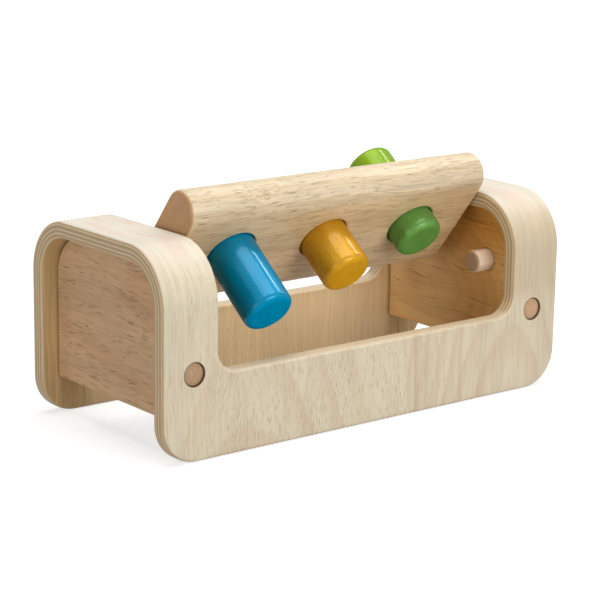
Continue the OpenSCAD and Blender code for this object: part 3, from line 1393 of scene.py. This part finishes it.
@dataclass
class TurningPlank:
    """The plank that carries the pegs, with its grain along the bench.

    Attributes:
        sizes: Sizes of the solids.
        half_thickness: From its middle to a face.
        end_fade: Depth from an end over which it is end grain.
        knot: A knot in its upper edge.
        edge: Painted sheen: how much paler the wood is made along the upper edge, where the light catches it.
        edge_fade: Place across the plank over which it pales.
        finish: Wood of the plank.
    """

    sizes: BenchSizes
    half_thickness: float = 11.3
    end_fade: Fade = (1.6, 0.2)
    knot: PinKnot = PinKnot()
    edge: Colour = (1.02, 1.15, 1.38)
    edge_fade: Fade = (-34.0, -47.0)
    finish: WoodFinish = WoodFinish(
        name="plank_wood",
        early=seen(225, 195, 150),
        late=seen(204, 168, 122),
        pore=seen(156, 114, 74),
        end=seen(168, 112, 60),
        rings=Rings(heart=(-30.0, -40.0), spacing=9.0, lean=0.02, wander=3.2, wave=(22.0, 110.0)),
        pores=(
            Pores(along=11.0, across=0.9, size=0.23, kept=0.5, patch=8.0),
            Hairs(along=14.0, across=0.45, cut=0.54, patch=7.0, strength=0.5),
        ),
        sway=(4.0, 60.0, 16.0),
        figure=0.45,
        streak=0.55,
        gloss=0.42,
        shine=0.55,
    )

    def dress(self, nodes: Nodes) -> None:
        """Give the plank its wood, its end grain and its knot.

        Args:
            nodes: The bench's pieces by name.
        """
        shader = new_finish(self.finish.name)
        x, y, z = shader.place()
        front, down = self.sizes.pounding
        up = z - self.sizes.pivot_height
        across, depth = up * front - y * down, y * -front - up * down
        grain = Grain(x, across, depth + self.half_thickness)
        end = (self.sizes.plank_half - abs(x)).step(*self.end_fade)
        colour, height = self.finish.lay(shader, grain, end, self.knot.bulge(x, across, depth))
        colour = shader.mix(self.knot.spot(x, across, depth), colour, self.finish.pore)
        # Painted sheen along the plank's upper edge.
        colour = shader.mix(across.step(*self.edge_fade) * (1 - end), colour, self.edge, "MULTIPLY")
        put_on(nodes, ["turning_plank"], self.finish.material(shader, colour, height))


@dataclass(frozen=True)
class PegPaint:
    """The paint of one peg.

    Attributes:
        piece: Name of the peg.
        paint: Colour of the paint.
        deep: Colour where it has sunk into the grain.
        back: Colour towards the back end, lighter, as a painted highlight where the light from above falls.
        pored: How much of the pores shows.
    """

    piece: str
    paint: Colour
    deep: Colour
    back: Colour
    pored: float


class PegColour(Enum):
    """The three pegs, by colour."""

    BLUE = PegPaint("blue_peg", seen(0, 142, 184), seen(0, 112, 152), seen(0, 150, 192), 0.6)
    YELLOW = PegPaint("yellow_peg", seen(216, 165, 40), seen(182, 110, 14), seen(226, 178, 54), 0.75)
    GREEN = PegPaint("green_peg", seen(108, 158, 76), seen(82, 132, 56), seen(138, 170, 0), 0.3)


@dataclass
class PaintedPegs:
    """The three pegs, painted so thinly that the grain still shows.

    Attributes:
        sizes: Sizes of the solids.
        half_length: From a peg's middle to its end.
        end_fade: Depth from an end over which pounding has dulled the paint.
        end_filled: Share of the pores that is filled on the ends.
        end_paler: How much paler the ends are.
        back_fade: Place along a peg over which it turns to the painted highlight of its back end.
        pores: Pores that show through the paint.
        pore_dark: How much darker than sunken paint a pore is.
        fibre: Pattern of the fibres.
        clouds: Pattern of thin and thick paint.
        sunken: Share of the paint that has sunk in.
        uneven: How much that changes with each pattern.
        varnish: Weight of the clear varnish on a peg's side; the ends have none left.
        streak_cut: How much of the fibres' pattern makes a streak of varnish.
        streaked: Share of the varnish that lies everywhere, and how much more lies in a streak.
        varnish_roughness: Roughness of the varnish.
        fibrous: Share of the relief that the fibres make.
        gloss: Roughness of the paint.
        hollow: How much rougher its hollows are.
        lustre: How far the paint itself shines in its own colour.
        relief: Depth of the relief.
    """

    sizes: BenchSizes
    half_length: float = 29.0
    end_fade: Fade = (2.2, 0.4)
    end_filled: float = 0.75
    end_paler: float = 0.14
    back_fade: Fade = (0.0, -12.0)
    pores: Layers = (
        Pores(along=4.0, across=0.6, size=0.24, kept=0.5, patch=6.0),
        Hairs(along=9.0, across=0.5, cut=0.56, patch=6.0, strength=0.25),
    )
    pore_dark: float = 0.55
    fibre: Clouds = Clouds(along=22.0, across=0.5, detail=3.0, roughness=0.6)
    clouds: Clouds = Clouds(along=14.0, across=7.0)
    sunken: float = 0.25
    uneven: float = 0.6
    varnish: float = 0.4
    streak_cut: Fade = (0.35, 0.65)
    streaked: Tuple[float, float] = (0.65, 0.7)
    varnish_roughness: float = 0.1
    fibrous: float = 0.35
    gloss: float = 0.34
    hollow: float = 0.15
    lustre: float = 0.2
    relief: float = 0.06

    def dress_peg(self, nodes: Nodes, peg: PegPaint) -> None:
        """Paint and varnish one peg.

        Args:
            nodes: The bench's pieces by name.
            peg: Its paint.
        """
        shader = new_finish(peg.piece + "_paint")
        x, y, z = shader.place()
        front, down = self.sizes.pounding
        up = z - self.sizes.pivot_height
        along = y * front + up * down - self.sizes.pushed(peg.piece)
        grain = Grain(along, x, up * front - y * down)
        dulled = (self.half_length - abs(along)).step(*self.end_fade)
        pores = open_pores(self.pores, grain) * (1 - dulled * self.end_filled)
        fibre = self.fibre.over(grain)
        # Painted highlight: each peg is lighter towards its back end.
        colour = shader.mix(along.step(*self.back_fade), peg.paint, peg.back)
        uneven = (fibre - MIDDLE) * self.uneven + self.clouds.tone(grain) * self.uneven
        colour = shader.mix(uneven + self.sunken, colour, peg.deep)
        pore = shader.mix(self.pore_dark, peg.deep, BLACK)
        colour = shader.mix(pores * peg.pored, colour, pore)
        colour = shader.shade(colour, dulled * self.end_paler + 1.0)
        least, more = self.streaked
        streaks = fibre.step(*self.streak_cut) * more + least
        height = surface_height(fibre, pores, self.fibrous)
        # The paint has no white reflection of its own, so that only the varnish shows one
        shader.surface(
            colour,
            (1 - height) * self.hollow + self.gloss,
            shader.bump(height, self.relief),
            Metallic=self.lustre,
            Specular_IOR_Level=0.0,
            Specular_Tint=peg.paint,
            Coat_Weight=(1 - dulled) * (1 - pores * peg.pored) * streaks * self.varnish,
            Coat_Roughness=self.varnish_roughness,
        )
        put_on(nodes, [peg.piece], shader.owner)

    def dress(self, nodes: Nodes) -> None:
        """Paint every peg.

        Args:
            nodes: The bench's pieces by name.
        """
        for colour in PegColour:
            self.dress_peg(nodes, colour.value)


@dataclass
class GripRings:
    """The rubber rings that hold the pegs in their holes.

    Attributes:
        rubber: Colour of the rubber.
        dust: Colour of the dust on it.
        patch: Size of a patch of dust.
        dust_cut: How much of the pattern makes a patch.
        dusty: How much of the dust shows.
        gloss: Roughness of the rubber, and how much more it is in the dust.
        shine: Strength of the reflections.
        relief: Depth of the relief.
    """

    rubber: Colour = seen(50, 47, 44)
    dust: Colour = seen(84, 78, 70)
    patch: float = 2.5
    dust_cut: Fade = (0.5, 0.8)
    dusty: float = 0.5
    gloss: Tuple[float, float] = (0.62, 0.2)
    shine: float = 0.3
    relief: float = 0.04

    def dress(self, nodes: Nodes) -> None:
        """Give the rings a dull, slightly dusty rubber.

        Args:
            nodes: The bench's pieces by name.
        """
        shader = new_finish("grip_rubber_finish")
        dust = shader.noise(shader.vector(*(place / self.patch for place in shader.place())), detail=4.0)
        colour = shader.mix(dust.step(*self.dust_cut) * self.dusty, self.rubber, self.dust)
        least, more = self.gloss
        relief = shader.bump(dust, self.relief)
        shader.surface(colour, dust * more + least, relief, Specular_IOR_Level=self.shine)
        put_on(nodes, [name for name in nodes if name.endswith("grip_ring")], shader.owner)


@dataclass(frozen=True)
class Lamp:
    """A soft lamp.

    Attributes:
        name: Name of the lamp.
        place: Where it stands, in metres.
        aim: The point that it faces.
        size: Its width and height, in metres.
        glow: Brightness of its face, where 1 is white.
    """

    name: str
    place: Point
    aim: Point
    size: Tuple[float, float]
    glow: float

    def build(self) -> None:
        """Add the lamp to the scene."""
        data = bpy.data.lights.new(self.name, "AREA")
        data.shape = "RECTANGLE"
        data.size, data.size_y = self.size
        data.energy = self.glow * math.pi * data.size * data.size_y
        lamp = bpy.data.objects.new(self.name, data)
        lamp.location = self.place
        ahead = Vector(self.aim) - Vector(self.place)
        lamp.rotation_euler = ahead.to_track_quat("-Z", "Y").to_euler()
        bpy.context.scene.collection.objects.link(lamp)


@dataclass
class Studio:
    """A plain pale floor, soft light and the camera.

    Attributes:
        azimuth: Angle of the camera round the bench, in degrees.
        elevation: Angle of the camera above the floor.
        roll: Lean of the camera.
        distance: From the camera to the target, in metres.
        target: The point that the camera faces.
        focus: Focal length in widths of the picture.
        sensor: Width of the camera's film, in millimetres.
        clip: Nearest and farthest distance that the camera sees.
        sky: Light from all round, where 1 is white.
        floor: Shade of the floor.
        floor_half: Half the width of the floor.
        floor_drop: How far the floor lies under the bench's feet.
        lift: Glow that brings the floor up to white as the camera sees it, under the bench and far off.
        lift_fade: Distance from the bench's middle over which that changes, in millimetres.
        lamps: The soft lamps.
    """

    azimuth: float = -38.70
    elevation: float = 13.875
    roll: float = 0.896
    distance: float = 1.114932
    target: Point = (-0.001123, 0.000900, 0.052763)
    focus: float = 3.526
    sensor: float = 36.0
    clip: Tuple[float, float] = (0.05, 50.0)
    sky: float = 0.11
    floor: float = 0.5
    floor_half: float = 8.0
    floor_drop: float = 0.0002
    lift: Tuple[float, float] = (0.7, 1.0)
    lift_fade: Fade = (250.0, 900.0)
    lamps: Tuple[Lamp, ...] = (
        Lamp("overhead_softbox", place=(0.0, 0.05, 1.1), aim=(0.0, 0.0, 0.05), size=(0.95, 0.9), glow=3.5),
        Lamp("right_strip", place=(0.9, 0.0, 0.85), aim=(0.0, 0.0, 0.08), size=(0.08, 0.7), glow=15.0),
        Lamp("front_fill", place=(0.05, -1.74, 0.6), aim=(0.0, 0.0, 0.05), size=(1.2, 1.0), glow=4.8),
        Lamp("left_fill", place=(-1.5, -0.2, 0.19), aim=(0.0, 0.0, 0.05), size=(0.8, 0.3), glow=5.8),
    )

    def seen_directly(self, shader: Shader) -> Socket:
        """Find rays from the camera, or by way of a shiny or clear surface.

        Args:
            shader: The nodes of the floor or the world.

        Returns:
            1 for such a ray, 0 for any other.
        """
        ray = shader.node("ShaderNodeLightPath", {}, {}, "Is Camera Ray")
        return ray.at_least(ray.other("Is Glossy Ray")).at_least(ray.other("Is Transmission Ray"))

    def build_world(self) -> None:
        """Set the light from all round, which is white behind the bench."""
        world = bpy.data.worlds.new("studio_white")
        bpy.context.scene.world = world
        shader = Shader(world)
        bright = self.seen_directly(shader) * (1 - self.sky) + self.sky
        shader.output(shader.node("ShaderNodeBackground", {}, {"Color": bright, "Strength": 1.0}))

    def build_floor(self) -> None:
        """Lay the floor, which keeps the bench's shadow."""
        mesh = bpy.data.meshes.new("studio_floor")
        flat = bmesh.new()
        lowered = Matrix.Translation((0.0, 0.0, -self.floor_drop))
        bmesh.ops.create_grid(flat, x_segments=1, y_segments=1, size=self.floor_half, matrix=lowered)
        flat.to_mesh(mesh)
        flat.free()
        floor = bpy.data.objects.new("studio_floor", mesh)
        bpy.context.scene.collection.objects.link(floor)
        shader = new_finish("pale_floor")
        grey = (self.floor,) * 3
        matt = shader.node("ShaderNodeBsdfDiffuse", {}, {"Color": grey})
        x, y, _ = shader.place()
        near, far = self.lift
        bright = x.hypot(y).step(*self.lift_fade) * (far - near) + near
        glow = shader.node("ShaderNodeEmission", {}, {"Color": bright, "Strength": 1.0})
        lifted = shader.node("ShaderNodeAddShader", {}, {0: matt, 1: glow})
        both = {0: self.seen_directly(shader), 1: matt, 2: lifted}
        shader.output(shader.node("ShaderNodeMixShader", {}, both))
        mesh.materials.append(shader.owner)

    def build_camera(self) -> None:
        """Stand the camera at the picture's viewpoint."""
        turn, rise, lean = (math.radians(angle) for angle in (self.azimuth, self.elevation, self.roll))
        back = Vector((math.sin(turn) * math.cos(rise), -math.cos(turn) * math.cos(rise), math.sin(rise)))
        level = Vector((math.cos(turn), math.sin(turn), 0.0))
        upright = back.cross(level)
        right = level * math.cos(lean) + upright * math.sin(lean)
        up = upright * math.cos(lean) - level * math.sin(lean)
        data = bpy.data.cameras.new("camera")
        data.sensor_width, data.lens = self.sensor, self.sensor * self.focus
        data.clip_start, data.clip_end = self.clip
        camera = bpy.data.objects.new("camera", data)
        place = Matrix.Translation(Vector(self.target) + back * self.distance)
        camera.matrix_world = place @ Matrix((right, up, back)).transposed().to_4x4()
        bpy.context.scene.collection.objects.link(camera)
        bpy.context.scene.camera = camera

    def build(self) -> None:
        """Set up everything round the bench."""
        bpy.context.scene.view_settings.view_transform = "Standard"
        self.build_world()
        self.build_floor()
        for lamp in self.lamps:
            lamp.build()
        self.build_camera()


def main() -> None:
    """Load the solids, dress each sub-assembly in turn and set up the studio."""
    logging.basicConfig(level=logging.INFO, format="%(message)s")
    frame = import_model()
    sizes = BenchSizes.measured(frame)
    wooden = (BentFrame(sizes), EndPanels(sizes), Dowels(sizes), TurningPlank(sizes))
    for part in (*wooden, PaintedPegs(sizes), GripRings()):
        part.dress(frame["nodes"])
    Studio().build()


if __name__ == "__main__":
    main()
